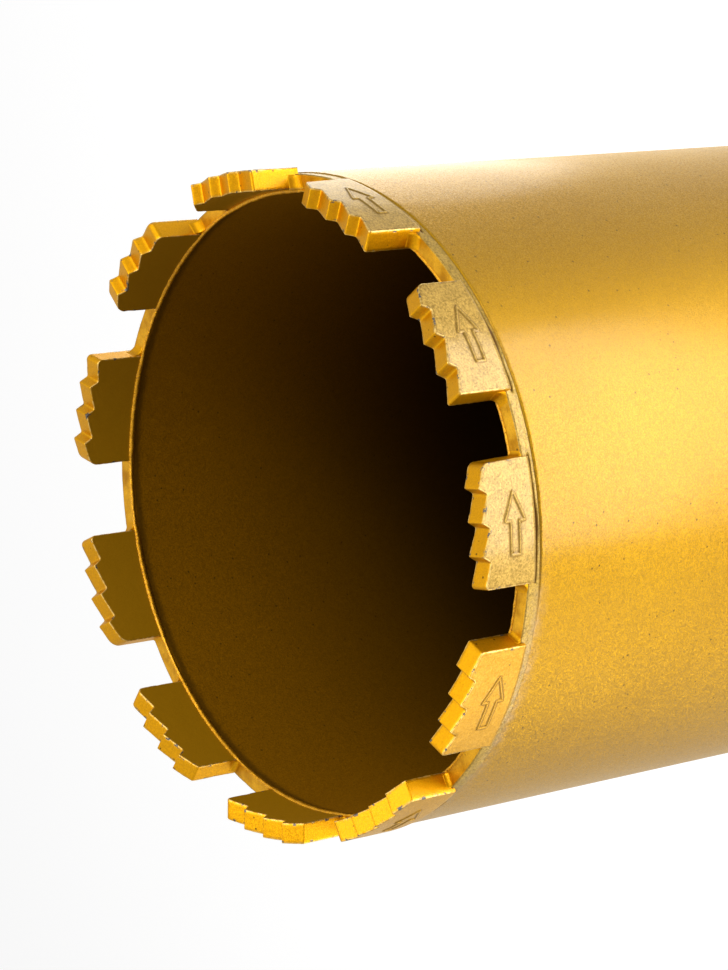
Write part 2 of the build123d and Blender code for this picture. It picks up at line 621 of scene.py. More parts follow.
@dataclass(frozen=True)
class Paint:
    """Gold metallic paint, the finish that the others vary.

    Fields:
        name: the material's name.
        colour: the paint's own colour, linear.
        shade: its darker side, in the slow clouds of the coat; the bore's finish darkens to it with depth and the
            segments' inner faces take it, both as painted shade.
        cloud: how much of the shade the clouds bring.
        cloud_size: size of a cloud, in metres.
        edge_tint: colour of its reflections at a low angle.
        metallic: share of metal flake.
        roughness: of the flake layer.
        uneven: how far the clouds change the roughness.
        coat: share of the clear coat.
        coat_roughness: of the clear coat.
        flake: size of a flake, in metres.
        sparkle: how far one flake's brightness differs from the next.
        tilt: how far the flakes lean out of the surface, as a slope.
        grain: size of the texture's grain, in metres.
        relief: height of the grain, in metres.
        specks: what has settled in the coat.
    """

    name: str
    colour: Colour = (0.325, 0.17, 0.001)
    shade: Colour = (0.29, 0.147, 0.001)
    cloud: float = 0.35
    cloud_size: float = 28 * MM
    edge_tint: Colour = (1.0, 0.92, 0.7)
    metallic: float = 0.97
    roughness: float = 0.5
    uneven: float = 0.08
    coat: float = 0.26
    coat_roughness: float = 0.2
    flake: float = 0.2 * MM
    sparkle: float = 0.12
    tilt: float = 0.14
    grain: float = 0.4 * MM
    relief: float = 0.004 * MM
    specks: tuple[Speck, ...] = (
        Speck((0.05, 0.028, 0.008), 4.2 * MM, 0.05, 1.0),
        Speck((0.07, 0.035, 0.003), 2.2 * MM, 0.14, 0.9),
    )

    def build(self) -> bpy.types.Material:
        """Makes the material.

        Returns:
            The material, dressed from the fields.
        """
        material = bpy.data.materials.new(self.name)
        graph = Pattern(material)
        layers = self.layers(graph)
        relief = {"Distance": self.relief, "Height": layers.height, "Normal": self.leaning(graph)}
        surface = graph.node(
            "ShaderNodeBsdfPrincipled",
            inputs={
                "Base Color": layers.colour,
                "Metallic": layers.metallic,
                "Roughness": layers.roughness,
                "Specular Tint": (*self.edge_tint, 1.0),
                "Coat Weight": layers.coat,
                "Coat Roughness": self.coat_roughness,
                "Normal": graph.node("ShaderNodeBump", inputs=relief).outputs[0],
            },
        )
        graph.node("ShaderNodeOutputMaterial", inputs={"Surface": surface.outputs[0]})
        return material

    def layers(self, graph: Pattern) -> Layers:
        """The varying parts of the finish.

        Args:
            graph: the material's tree.

        Returns:
            What the shader's varying sockets take.
        """
        clouds = graph.noise(self.cloud_size, 4)
        colour = graph.mix(clouds.ramp(0.3, 0.7) * self.cloud, self.colour, self.shade)
        shine = graph.chance(graph.cells(self.flake)) * (4 * self.sparkle) + (1 - 2 * self.sparkle)
        colour = graph.vector("SCALE", {0: colour, "Scale": shine})
        for speck in self.specks:
            colour = graph.mix(graph.specks(speck.apart, speck.size) * speck.strength, colour, speck.colour)
        roughness = clouds * self.uneven + (self.roughness - self.uneven / 2)
        return Layers(colour, roughness, graph.noise(self.grain, 3), self.metallic, self.coat)

    def leaning(self, graph: Pattern) -> bpy.types.NodeSocket:
        """Leans the surface's normal a little for each flake.

        Args:
            graph: the material's tree.

        Returns:
            The socket of the normal.
        """
        ways = graph.vector("SUBTRACT", {0: graph.cells(self.flake).outputs["Color"], 1: (0.5,) * 3})
        lean = graph.vector("SCALE", {0: ways, "Scale": 2 * self.tilt})
        normal = graph.node("ShaderNodeNewGeometry").outputs["Normal"]
        return graph.vector("NORMALIZE", {0: graph.vector("ADD", {0: normal, 1: lean})})


@dataclass(frozen=True)
class TubePaint(Paint):
    """The barrel's paint, sandy on the dressed band, rubbed grey where the band is worn, with painted shade down in
    the braze joints' grooves.

    Fields:
        sand: colour of the dressed band.
        hollow: colour between its grains, as a share of the sand's.
        sand_size: size of its grains, in metres.
        sanded: how far the sand hides the paint.
        coarse: height of the band's grain, in shares of the relief.
        dull: how much rougher the band shines.
        crease_shade: painted shade down in the braze joints' grooves.
        rubbed: colour of the worn part of the band.
        rub: how far it hides the paint.
    """

    sand: Colour = (0.46, 0.3, 0.06)
    hollow: float = 0.35
    sand_size: float = 0.32 * MM
    sanded: float = 0.85
    coarse: float = 22.0
    dull: float = 0.06
    crease_shade: Colour = (0.12, 0.05, 0.002)
    rubbed: Colour = (0.3, 0.2, 0.1)
    rub: float = 0.7

    def layers(self, graph: Pattern) -> Layers:
        """The varying parts of the finish, laid over those of plain paint.

        Args:
            graph: the material's tree.

        Returns:
            What the shader's varying sockets take.
        """
        under = super().layers(graph)
        band, joint, worn = (graph.noted(name) for name in ("band", "joint", "worn"))
        dark = tuple(part * self.hollow for part in self.sand)
        colour = graph.mix(band * self.sanded, under.colour, graph.sandy(self.sand_size, dark, self.sand))
        smear = worn * graph.noise(2.2 * MM, 4).ramp(0.25, 0.75)
        colour = graph.mix(smear * self.rub, colour, self.rubbed)
        # Painted shade down in the braze joints' grooves.
        colour = graph.mix(joint.ramp(0.1, 0.5), colour, self.crease_shade)
        height = under.height + graph.noise(0.7 * MM, 3) * self.coarse * band
        return Layers(colour, under.roughness + band * self.dull, height, self.metallic, self.coat)


@dataclass(frozen=True)
class SegmentPaint(Paint):
    """The segments' paint: deep gold on the teeth, coarse and sandy outside, chipped at the edges; painted shade on
    the inner faces and round the mark, and edges lightened by wear and a painted highlight.

    Fields:
        sand: colour of the outer faces.
        olive: colour of their duller patches.
        sand_size: size of their grains, in metres.
        sanded: how far the sand hides the paint.
        coarse: height of their grain, in shares of the relief.
        dull: how much rougher they shine.
        sealed: how much more clear coat they have.
        inner_flake: how much less metal flake the inner faces have.
        edge_wear_and_glint_colour: colour of a worn edge, which also stands as a painted highlight along the edges.
        edge_wear_and_glint: how far it hides the paint.
        glossy: how much smoother an edge shines.
        bare: colour of bare metal in a chip.
        chip: depth of a chip, in shares of the relief.
        crease_shade: painted shade round the foot of the raised mark, also laid as a dark line beside the outer faces'
            edges.
        lined: how far it hides the paint beside an edge.
    """

    sand: Colour = (0.47, 0.31, 0.07)
    olive: Colour = (0.16, 0.1, 0.015)
    sand_size: float = 0.32 * MM
    sanded: float = 0.9
    coarse: float = 30.0
    dull: float = 0.1
    sealed: float = 0.3
    inner_flake: float = 0.65
    edge_wear_and_glint_colour: Colour = (0.85, 0.6, 0.2)
    edge_wear_and_glint: float = 0.5
    glossy: float = 0.08
    bare: Colour = (0.1, 0.085, 0.07)
    chip: float = 15.0
    crease_shade: Colour = (0.17, 0.085, 0.006)
    lined: float = 0.75

    def layers(self, graph: Pattern) -> Layers:
        """The varying parts of the finish, laid over those of plain paint.

        Args:
            graph: the material's tree.

        Returns:
            What the shader's varying sockets take.
        """
        under = super().layers(graph)
        outer, inner, edge, crease_shade = (graph.noted(name) for name in ("outer", "inner", "edge", "crease_shade"))
        ragged = graph.noise(0.9 * MM, 3)
        # A ragged dark line just inside the outer faces' edges, in the crease shade colour.
        beside = edge.ramp(0.02, 0.25) * edge.ramp(0.75, 0.4) * ragged.ramp(0.56, 0.44) * outer
        # Edges lightened where worn, partly a painted highlight along them.
        edge_wear_and_glint = edge.ramp(0.45, 0.9) * ragged.ramp(0.36, 0.58)
        chipped = edge.ramp(0.1, 0.45) * graph.noise(1.5 * MM, 4).ramp(0.59, 0.63)
        colour = under.colour
        for share, over in (
            # Inner faces darker: painted shade.
            (inner, self.shade),
            (outer * self.sanded, graph.sandy(self.sand_size, self.olive, self.sand)),
            (beside * self.lined, self.crease_shade),
            (edge_wear_and_glint * self.edge_wear_and_glint, self.edge_wear_and_glint_colour),
            (chipped, self.bare),
            # Painted shade round the foot of the raised mark.
            (crease_shade, self.crease_shade),
        ):
            colour = graph.mix(share, colour, over)
        roughness = under.roughness + outer * self.dull - edge * self.glossy
        height = under.height + graph.noise(0.6 * MM, 4) * self.coarse * outer - chipped * self.chip
        metallic = self.metallic - inner * self.inner_flake
        return Layers(colour, roughness, height, metallic, outer * self.sealed + self.coat)


@dataclass(frozen=True)
class BorePaint(Paint):
    """Paint inside the tube, darker with the distance from the mouth: overspray that thins out, and painted shade of
    the deep bore.

    Fields:
        mouth_z: height of the tube's mouth, in metres.
        shade_fade_from: how far down the darkening starts, in metres.
        shade_fade_to: how far down it reaches.
        dark_ring_colour: colour of a dark ring just below the mouth.
        dark_ring_share: how far it hides the paint.
        wander: how far the ring strays up and down, in metres.
    """

    mouth_z: float = 490 * MM
    shade_fade_from: float = 6 * MM
    shade_fade_to: float = 100 * MM
    dark_ring_colour: Colour = (0.05, 0.022, 0.002)
    dark_ring_share: float = 0.65
    wander: float = 1.2 * MM

    def layers(self, graph: Pattern) -> Layers:
        """The varying parts of the finish, laid over those of plain paint.

        Args:
            graph: the material's tree.

        Returns:
            What the shader's varying sockets take.
        """
        under = super().layers(graph)
        depth = self.mouth_z - graph.value(graph.node("ShaderNodeSeparateXYZ", inputs={0: graph.spot}), 2)
        stray = depth + (graph.noise(2.5 * MM, 3) - 0.5) * self.wander
        # A dark ring from about 0.7 to 3.2 mm below the mouth.
        ring = stray.ramp(0.7 * MM, 1.2 * MM) * stray.ramp(3.2 * MM, 1.7 * MM)
        # Darker with depth: thinning overspray and painted shade of the deep bore.
        colour = graph.mix(depth.ramp(self.shade_fade_from, self.shade_fade_to), under.colour, self.shade)
        colour = graph.mix(ring * self.dark_ring_share, colour, self.dark_ring_colour)
        return Layers(colour, under.roughness, under.height, self.metallic, self.coat)


# ------------------------------------------------------------------ the bit's plan
@dataclass(frozen=True)
class SegmentForm:
    """What one segment has of its own; lengths in millimetres.

    Fields:
        error: how far it is turned off its even place, in degrees.
        lead_corner: radius at the top of its leading end.
        trail_corner: radius at the top of its trailing end.
        last_drop: how far its last tip is below the others.
        lean: how far its leading end leans back, base to top.
        lead_drop: how far its leading corner is below the notches.
        out: how much further out it is set.
        smooth: share of its outer face's coarse grain that is rubbed smooth.
    """

    error: float
    lead_corner: float
    trail_corner: float
    last_drop: float = 0.0
    lean: float = 0.0
    lead_drop: float = 0.0
    out: float = 0.0
    smooth: float = 0.0


@dataclass(frozen=True)
class CrownPlan:
    """Where the crown's segments stand, shared by every piece that meets them."""

    rim_z: float = 490 * MM
    cut_radius: float = 66 * MM
    inner_radius: float = 61.8 * MM
    half_length: float = 11.7 * MM
    seat: float = 0.8 * MM
    forms: tuple[SegmentForm, ...] = (
        SegmentForm(0.05, 1.5, 0.4, 1.1, lean=0.3, lead_drop=1.9, out=0.45),
        SegmentForm(-1.3, 3.0, 1.0, 0.7),
        SegmentForm(-1.25, 2.4, 0.9, 0.6),
        SegmentForm(1.45, 2.4, 1.0),
        SegmentForm(0.7, 0.4, 1.0),
        SegmentForm(1.2, 0.3, 0.6),
        SegmentForm(0.95, 0.3, 0.6, smooth=0.5),
        SegmentForm(1.3, 0.5, 0.6, 0.5, smooth=0.5),
        SegmentForm(-0.4, 1.8, 0.8, 0.7, lean=0.3),
        SegmentForm(-1.65, 2.2, 0.4, 0.2),
        SegmentForm(-1.15, 1.2, 0.4, 0.3, lean=0.8),
    )

    def angle(self, index: int) -> float:
        """Angle of a segment's middle, in radians."""
        return index * TURN / len(self.forms) + math.radians(self.forms[index].error)

    def from_middle(self, angle: np.ndarray, index: int) -> np.ndarray:
        """Signed angle from a segment's middle, in radians."""
        return (angle - self.angle(index) + math.pi) % TURN - math.pi


PLAN = CrownPlan()


@dataclass
class Crown:
    """The row of sawtooth diamond segments on the rim.

    Fields:
        tip_z: height of the teeth's tips above the rim.
        tooth_depth: tip down to notch.
        tooth_drop: tip to notch, along the rim.
        first_tooth: leading end to the first tip.
        teeth: how many each segment has.
        tip_radius: of a tooth's tip.
        notch_radius: between two teeth.
        edge_radius: of the edges of both faces.
        edge_wear: how far that radius changes along an edge, as a share.
        end_start: height at which the outline of both ends starts.
        lead_foot: radius of the braze foot at the leading end.
        trail_foot: radius of the one at the trailing end.
        foot_reach: from the feet's inner face to their outer face, as two distances from the axis.
        foot_soft: rounding of a foot's own edges.
        foot_sunk: how far the feet reach into the rim.
        spacing: widest gap between two points of the mesh.
        swell: how far the faces swell in and out.
        swell_size: size of the swells.
        mark_middle: height of the mark's middle above the rim.
        mark_half: half of its length.
        mark_width: half of its outline's width.
        mark_height: how far it stands out.
    """

    tip_z: float = 11.8 * MM
    tooth_depth: float = 1.85 * MM
    tooth_drop: float = 1.1 * MM
    first_tooth: float = 4.8 * MM
    teeth: int = 4
    tip_radius: float = 0.25 * MM
    notch_radius: float = 0.45 * MM
    edge_radius: float = 0.2 * MM
    edge_wear: float = 0.45
    end_start: float = 4 * MM
    lead_foot: float = 0.9 * MM
    trail_foot: float = 1.9 * MM
    foot_reach: tuple[float, float] = (62.15 * MM, 65.05 * MM)
    foot_soft: float = 0.12 * MM
    foot_sunk: float = 0.3 * MM
    spacing: float = 0.52 * MM
    swell: float = 0.06 * MM
    swell_size: float = 3 * MM
    mark_middle: float = 4.1 * MM
    mark_half: float = 5.8 * MM
    mark_width: float = 0.3 * MM
    mark_height: float = 0.2 * MM

    def top(self, form: SegmentForm) -> np.ndarray:
        """Draws the sawtooth edge and the tops of both ends.

        Args:
            form: the segment's own form.

        Returns:
            The outline's points, as (along the rim, above the rim).
        """
        half = PLAN.half_length
        lead = half - form.lean * MM
        notch = self.tip_z - self.tooth_depth
        pitch = (2 * half - self.first_tooth) / (self.teeth - 1)
        corners, radii = [(lead, self.end_start), (lead, notch - form.lead_drop * MM)], [0.0, form.lead_corner * MM]
        for index in range(self.teeth - 1):
            tip = half - self.first_tooth - index * pitch
            corners += [(tip, self.tip_z), (tip - self.tooth_drop, notch)]
            radii += [self.tip_radius, self.notch_radius]
        corners += [(-half, self.tip_z - form.last_drop * MM), (-half, self.end_start)]
        radii += [form.trail_corner * MM, 0.0]
        return filled(rounded(corners, radii, 0.36 * MM)[1:-1], self.spacing)

    def bend(self, form: SegmentForm, radius: Any, along: Any, above: Any) -> np.ndarray:
        """Puts points of a segment that is laid out flat onto the rim, at angle 0.

        Args:
            form: the segment's own form.
            radius: distance from the axis.
            along: place along the rim.
            above: height above the rim face.

        Returns:
            The points, the last axis x, y, z.
        """
        lean = form.lean * MM
        reach = 3 * MM           # how far back from the end the lean is felt
        end = np.clip((along - PLAN.half_length + reach) / (reach - lean), 0, 1)
        along = along + lean * end * np.clip(1 - above / (self.tip_z - self.tooth_depth), 0, 1)
        out = np.sqrt(np.maximum(radius**2 - along**2, 0)) + form.out * MM
        return np.stack(np.broadcast_arrays(out, along, PLAN.rim_z + above), axis=-1)

    def body(self, skin: Skin, form: SegmentForm, seed: int) -> None:
        """Adds one segment's block to a skin, its edges unevenly rounded.

        Args:
            skin: what it is added to.
            form: the segment's own form.
            seed: which unevenness its edges have.
        """
        top = self.top(form)
        foot = [(top[0, 0], -PLAN.seat)]
        outline = np.concatenate([foot, top, [(top[-1, 0], -PLAN.seat)]])
        near = np.array([0, 0.05, 0.11, 0.2, 0.36, 0.62]) * MM   # rows of points close below the edge
        rows = round((self.tip_z + PLAN.seat) / self.spacing)
        shares = np.linspace(1, 0, rows)[None, :]
        depth = (top[:, 1:] + PLAN.seat - near[-1]) * (1 - shares) + near[-1]
        depth = np.concatenate([np.broadcast_to(near[:-1], (len(top), len(near) - 1)), depth], axis=1)
        above = top[:, 1:] - depth
        along = np.broadcast_to(top[:, :1], above.shape)
        gap = distance_to(outline, np.stack([along, above], axis=-1))
        spots = np.stack([along, above, np.full_like(above, seed * 7 * MM)], axis=-1)
        edge = self.edge_radius * (1 + self.edge_wear * Unevenness(seed, 0.9 * MM, 5 * MM).at(spots))
        inside = np.clip(edge - gap, 0, None)
        drop = edge - np.sqrt(np.maximum(edge**2 - inside**2, 0))
        skin.patch(self.bend(form, PLAN.cut_radius - drop, along, above))
        skin.patch(self.bend(form, PLAN.inner_radius + drop, along, above))
        lead, trail, root = (np.stack([along[cut], above[cut]], 1) for cut in (0, -1, np.s_[:, -1]))
        border = np.concatenate([lead[::-1], top[1:], trail[1:]])
        margin = np.concatenate([edge[0][::-1], edge[1:, 0], edge[-1][1:]])
        share = np.linspace(0, 1, round((PLAN.cut_radius - PLAN.inner_radius) / self.spacing))[:, None]
        across = (PLAN.cut_radius - margin) * (1 - share) + (PLAN.inner_radius + margin) * share
        skin.patch(self.bend(form, across, border[None, :, 0], border[None, :, 1]))
        across = np.linspace(PLAN.cut_radius, PLAN.inner_radius, len(share))[:, None]
        skin.patch(self.bend(form, across, root[None, :, 0], root[None, :, 1]))

    def foot(self, skin: Skin, side: int, radius: float) -> None:
        """Adds the concave braze foot at one end of a segment.

        Args:
            skin: what it is added to.
            side: 1 for the leading end, -1 for the trailing end.
            radius: the fillet's radius.
        """
        turn = np.linspace(0, math.pi / 2, 9)
        (low, high), soft, sunk = self.foot_reach, self.foot_soft, -self.foot_sunk
        scoop = np.stack([1 - np.sin(turn), 1 - np.cos(turn)], 1) * radius
        scoop = np.concatenate([scoop, [(sunk, radius)]])
        base = np.stack([scoop[:, 0], np.full(len(scoop), sunk)], 1)
        middle = np.linspace(low + 0.5 * MM, high - 0.5 * MM, 6)
        across = np.array([low, low + soft, *middle, high - soft, high])
        dip = np.array([soft, soft / 6, *np.zeros(6), soft / 6, soft])[:, None]
        straight = SegmentForm(0, 0, 0)
        along = side * (PLAN.half_length + scoop[None, :, 0])
        above = np.maximum(scoop[None, :, 1] - dip, sunk)
        skin.patch(self.bend(straight, across[:, None], along, above))
        for row in (0, -1):
            wall = np.stack([above[row], base[:, 1]])
            skin.patch(self.bend(straight, across[row], side * (PLAN.half_length + base[None, :, 0]), wall))

    def mark_path(self) -> np.ndarray:
        """Draws the mark's centre line, a plain arrow's closed outline.

        Returns:
            Its corners, as (along the rim, above the rim).
        """
        half, shaft, head, neck = self.mark_half, 1.05 * MM, 2.45 * MM, 0.4 * MM
        corners = [(half, 0), (neck, head), (neck, shaft), (-half, shaft), (-half, -shaft), (neck, -shaft)]
        corners += [(neck, -head), (half, 0)]
        return np.array([(along, self.mark_middle + above) for along, above in corners])

    def mark(self, skin: Skin, form: SegmentForm) -> None:
        """Adds the raised outline of a plain arrow, which shows the way the bit turns.

        Args:
            skin: what it is added to.
            form: the segment's own form.
        """
        path = filled(self.mark_path(), 0.4 * MM)[:-1]
        ahead = np.roll(path, -1, axis=0) - np.roll(path, 1, axis=0)
        side = np.stack([-ahead[:, 1], ahead[:, 0]], 1)
        side /= np.linalg.norm(side, axis=1, keepdims=True)
        # Across the outline and up from the face, as shares of its half width and its height.
        profile = [(-2.2, 0.0), (-2.0, 0.06), (-1.5, 0.07), (-1.05, 0.05), (-0.6, 0.85), (0.0, 1.0)]
        profile += [(-across, up) for across, up in reversed(profile[:-1])]
        rows = []
        for across, up in profile:
            spot = path + side * across * self.mark_width
            rows.append(self.bend(form, PLAN.cut_radius + up * self.mark_height, spot[:, 0], spot[:, 1]))
        skin.patch(np.array(rows), around=True)

    def template(self, index: int) -> bpy.types.Object:
        """Makes one whole segment at angle 0.

        Args:
            index: which of the plan's segments.

        Returns:
            The segment, for the tree to set on the rim.
        """
        skin, form = Skin(), PLAN.forms[index]
        self.body(skin, form, index + 20)
        self.foot(skin, 1, self.lead_foot)
        self.foot(skin, -1, self.trail_foot)
        self.mark(skin, form)
        return skin.object(f"one_segment_{index + 1:02d}")

    def recipe(self) -> Recipe:
        """Builds the tree that sets the segments round the rim, each on its own point.

        Returns:
            The tree, ready to run.
        """
        tree = Recipe(
            "segments_round_the_rim",
            {"Segments": "Collection", "Count": "Int", "Swell": "Float", "Swell size": "Float", "Seed": "Int"},
        )
        index = tree.value(tree.node("GeometryNodeInputIndex"))
        error = tree.node("GeometryNodeInputNamedAttribute", {"data_type": "FLOAT"}, {"Name": "set_error"})
        angle = index * (tree.size("Count").math("POWER", -1.0) * TURN) + tree.value(error)
        spin = tree.node("ShaderNodeCombineXYZ", inputs={"Z": angle})
        source = tree.node(
            "GeometryNodeCollectionInfo",
            inputs={"Collection": tree.given["Segments"], "Separate Children": True, "Reset Children": True},
        )
        row = tree.node(
            "GeometryNodeInstanceOnPoints",
            inputs={
                "Points": tree.given["Geometry"],
                "Instance": source.outputs[0],
                "Pick Instance": True,
                "Instance Index": index,
                "Rotation": spin.outputs[0],
            },
        )
        real = tree.node("GeometryNodeRealizeInstances", inputs={0: row.outputs[0]})
        tree.close(tree.swollen(real.outputs[0], "Swell", "Swell size"))
        return tree

    def build(self, finish: bpy.types.Material) -> bpy.types.Object:
        """Makes the whole row.

        Args:
            finish: the segments' paint.

        Returns:
            The piece that stands for every segment.
        """
        count = len(PLAN.forms)
        carrier = bare("segment_places", [(0, 0, 0)] * count)
        note(carrier, "set_error", np.radians([form.error for form in PLAN.forms]))
        store = bpy.data.collections.new("segments")
        bpy.context.scene.collection.children.link(store)
        segments = [self.template(index) for index in range(count)]
        for segment in segments:
            bpy.context.scene.collection.objects.unlink(segment)
            store.objects.link(segment)
        values = {"Segments": store, "Count": count, "Swell": self.swell, "Swell size": self.swell_size}
        piece = self.recipe().run(carrier, {**values, "Seed": 4, "Finish": finish}, "crown_segments")
        for segment in segments:
            bpy.data.objects.remove(segment)
        bpy.data.collections.remove(store)
        self.wear_and_shade_zones(piece)
        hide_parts(*(f"segment_{index + 1:02d}" for index in range(count)))
        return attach(piece, "root")

    def wear_and_shade_zones(self, piece: bpy.types.Object) -> None:
        """Notes for each vertex its nearness to an edge, its face and the creases of the mark, where the finish paints
        wear, an edge highlight and crease shade.

        Args:
            piece: the whole row.
        """
        margin, soft, edge_reach = 0.2 * MM, 0.12 * MM, 0.34 * MM
        spots = places(piece)
        angle = np.arctan2(spots[:, 1], spots[:, 0])
        away = np.array([PLAN.from_middle(angle, index) for index in range(len(PLAN.forms))])
        nearest = np.abs(away).argmin(axis=0)
        edge, outer, inner, crease_shade = (np.zeros(len(spots)) for _ in range(4))
        for index, form in enumerate(PLAN.forms):
            own = nearest == index
            turn, here = PLAN.angle(index), spots[own]
            out = here[:, 0] * math.cos(turn) + here[:, 1] * math.sin(turn) - form.out * MM
            along = here[:, 1] * math.cos(turn) - here[:, 0] * math.sin(turn)
            above, radius = here[:, 2] - PLAN.rim_z, np.hypot(out, along)
            flat = np.stack([along, above], axis=1)
            gap = distance_to(self.top(form), flat)
            ends = np.where(above > 0.5 * MM, PLAN.half_length - np.abs(along), np.inf)
            gap = np.minimum(gap, np.abs(ends))
            side = np.minimum(np.abs(PLAN.cut_radius - radius), np.abs(radius - PLAN.inner_radius))
            # Nearness to an edge, where the finish paints chips, wear and an edge highlight.
            edge[own] = np.exp(-((np.hypot(gap, side) / edge_reach) ** 2))
            outer[own] = np.clip((radius - PLAN.cut_radius + margin) / soft, 0, 1) * (1 - form.smooth)
            inner[own] = np.clip((PLAN.inner_radius + margin - radius) / soft, 0, 1)
            # Where shade is painted round the foot of the raised mark.
            from_mark = distance_to(self.mark_path(), flat) / self.mark_width
            raised = radius > PLAN.cut_radius + 0.003 * MM
            crease_shade[own] = raised * np.exp(-(((from_mark - 1.25) / 0.42) ** 2))
        for name, values in {"edge": edge, "outer": outer, "inner": inner, "crease_shade": crease_shade}.items():
            note(piece, name, values)


class Zone(IntEnum):
    """Finishes of the barrel, in the order of its slots."""

    OUTSIDE = 0
    RIM = 1
    BORE = 2


@dataclass
class Barrel:
    """The tube, with its rim, the dressed band behind it and the braze joints of the segments.

    Fields:
        bore: radius inside.
        outer: radius outside.
        band: radius of the dressed band.
        shell: radius past which a point is on the outside.
        back_z: height of the back end.
        band_width: rim down to the groove.
        groove_width: of the groove behind the band.
        groove_depth: below the tube's outside.
        joint_depth: of the deepest braze joint.
        rough_width: rim down to where the steel is smooth.
        roughness: how uneven it is above that.
        columns: points round the tube.
        joints: depth of each segment's joint, as a share of the deepest.
        worn_from: angle at which the band's wear starts.
        worn_to: angle at which it ends.
        worn_soft: how gently it starts and ends.
        worn_depth: how much is worn off.
    """

    bore: float = 62 * MM
    outer: float = 65.4 * MM
    band: float = 65.2 * MM
    shell: float = 64 * MM
    back_z: float = 40 * MM
    band_width: float = 2.45 * MM
    groove_width: float = 0.3 * MM
    groove_depth: float = 0.3 * MM
    joint_depth: float = 0.45 * MM
    rough_width: float = 3.4 * MM
    roughness: float = 0.03 * MM
    columns: int = 1100
    joints: tuple[float, ...] = (1.0, 0.8, 0.9, 0.8, 0.7, 0.4, 0.2, 0.12, 1.0, 1.0, 0.9)
    worn_from: float = math.radians(196)
    worn_to: float = math.radians(250)
    worn_soft: float = math.radians(3.5)
    worn_depth: float = 0.18 * MM

    def worn(self, angle: np.ndarray) -> np.ndarray:
        """Share of wear on the band, from 0 to 1, where it has been rubbed smooth."""
        turn = angle % TURN
        return soft_step((self.worn_from - turn) / self.worn_soft) * soft_step((turn - self.worn_to) / self.worn_soft)

    def joint(self, angle: np.ndarray, height: np.ndarray, spots: np.ndarray) -> np.ndarray:
        """Depth of the braze joints over the band.

        Args:
            angle: angle of each point about the axis.
            height: height of each point.
            spots: the points themselves.

        Returns:
            0 on the plain band to 1 in the middle of a deep joint.
        """
        total = np.zeros(np.broadcast(angle, height).shape)
        wander = Unevenness(5, 2 * MM, 12 * MM).at(spots)
        for index, share in enumerate(self.joints):
            along = PLAN.from_middle(angle, index) * self.band
            past = (np.abs(along) - PLAN.half_length - 0.2 * MM) / (0.12 * MM)
            swell = np.exp(-(((along + 1.2 * MM) / (3.4 * MM)) ** 2))
            middle = PLAN.rim_z - (1.5 + 0.26 * swell + 0.1 * wander) * MM
            width = (0.2 + 0.22 * swell) * MM
            total += share * soft_step(past) * np.exp(-(((height - middle) / width) ** 2))
        return total

    def outside(self) -> list[tuple[float, float]]:
        """Lays rows of points down the outside.

        Returns:
            Radius and height of each row, from the rim's outer edge to the back end.
        """
        rim, low = PLAN.rim_z, PLAN.rim_z - self.band_width
        rows = [(self.band - 0.25 * MM, rim), (self.band - 0.12 * MM, rim - 0.03 * MM)]
        rows += [(self.band - 0.03 * MM, rim - 0.12 * MM)]
        rows += [(self.band, z) for z in np.linspace(rim - 0.25 * MM, low, 17)]
        for share in (0.2, 0.5, 0.8):
            rows.append((self.outer - self.groove_depth, low - share * self.groove_width))
        rows.append((self.outer - 0.04 * MM, low - self.groove_width))
        below = [0.55, 0.9, 1.6, 3, 6, 12, 25, 50, 90, 140, 200, 260, 320, 380, 430, 440, 444]
        rows += [(self.outer, low - stop * MM) for stop in below]
        rows += [(self.outer, self.back_z + 0.9 * MM), (self.outer - 0.08 * MM, self.back_z + 0.7 * MM)]
        return rows + [(self.outer - 0.8 * MM, self.back_z), (self.bore, self.back_z)]

    def inside(self) -> list[tuple[float, float]]:
        """Lays rows of points up the bore.

        Returns:
            Radius and height of each row, from the back end to the rim's inner edge.
        """
        below = [450, 442, 400, 340, 280, 220, 160, 110, 70, 45, 28, 18, 11, 7, 4.5, 3, 2.2, 1.6, 1.1, 0.7, 0.4, 0.25]
        rim = PLAN.rim_z
        rows = [(self.bore, rim - stop * MM) for stop in below]
        return rows + [(self.bore + 0.04 * MM, rim - 0.11 * MM), (self.bore + 0.25 * MM, rim)]

    def grid(self, rows: Sequence[tuple[float, float]]) -> np.ndarray:
        """Turns rows round the axis, and adds the joints, the wear and the unevenness.

        Args:
            rows: radius and height of each.

        Returns:
            The points, rows by columns by 3.
        """
        angle = angles(self.columns)
        radius, height = (np.array(part)[:, None] for part in zip(*rows))
        spots = turned(radius, angle, height)
        below, hair = PLAN.rim_z - height, 0.001 * MM
        on_band = (radius > self.band - 0.3 * MM) & (below < self.band_width + hair)
        past_band = (below > self.band_width + hair) & (below < 4 * MM)
        in_groove = past_band & (radius > self.shell) & (radius < self.outer - 0.02 * MM)
        worn = self.worn(angle)
        change = on_band * -self.joint_depth * self.joint(angle, height, spots)
        change = change + on_band * worn * self.worn_depth * np.clip(below / self.band_width, 0, 1)
        change = change + in_groove * worn * (self.outer - radius - 0.01 * MM)
        change = change + (below < self.rough_width) * self.roughness * Unevenness(11, 0.8 * MM, 7 * MM).at(spots)
        return turned(radius + change, angle, height)

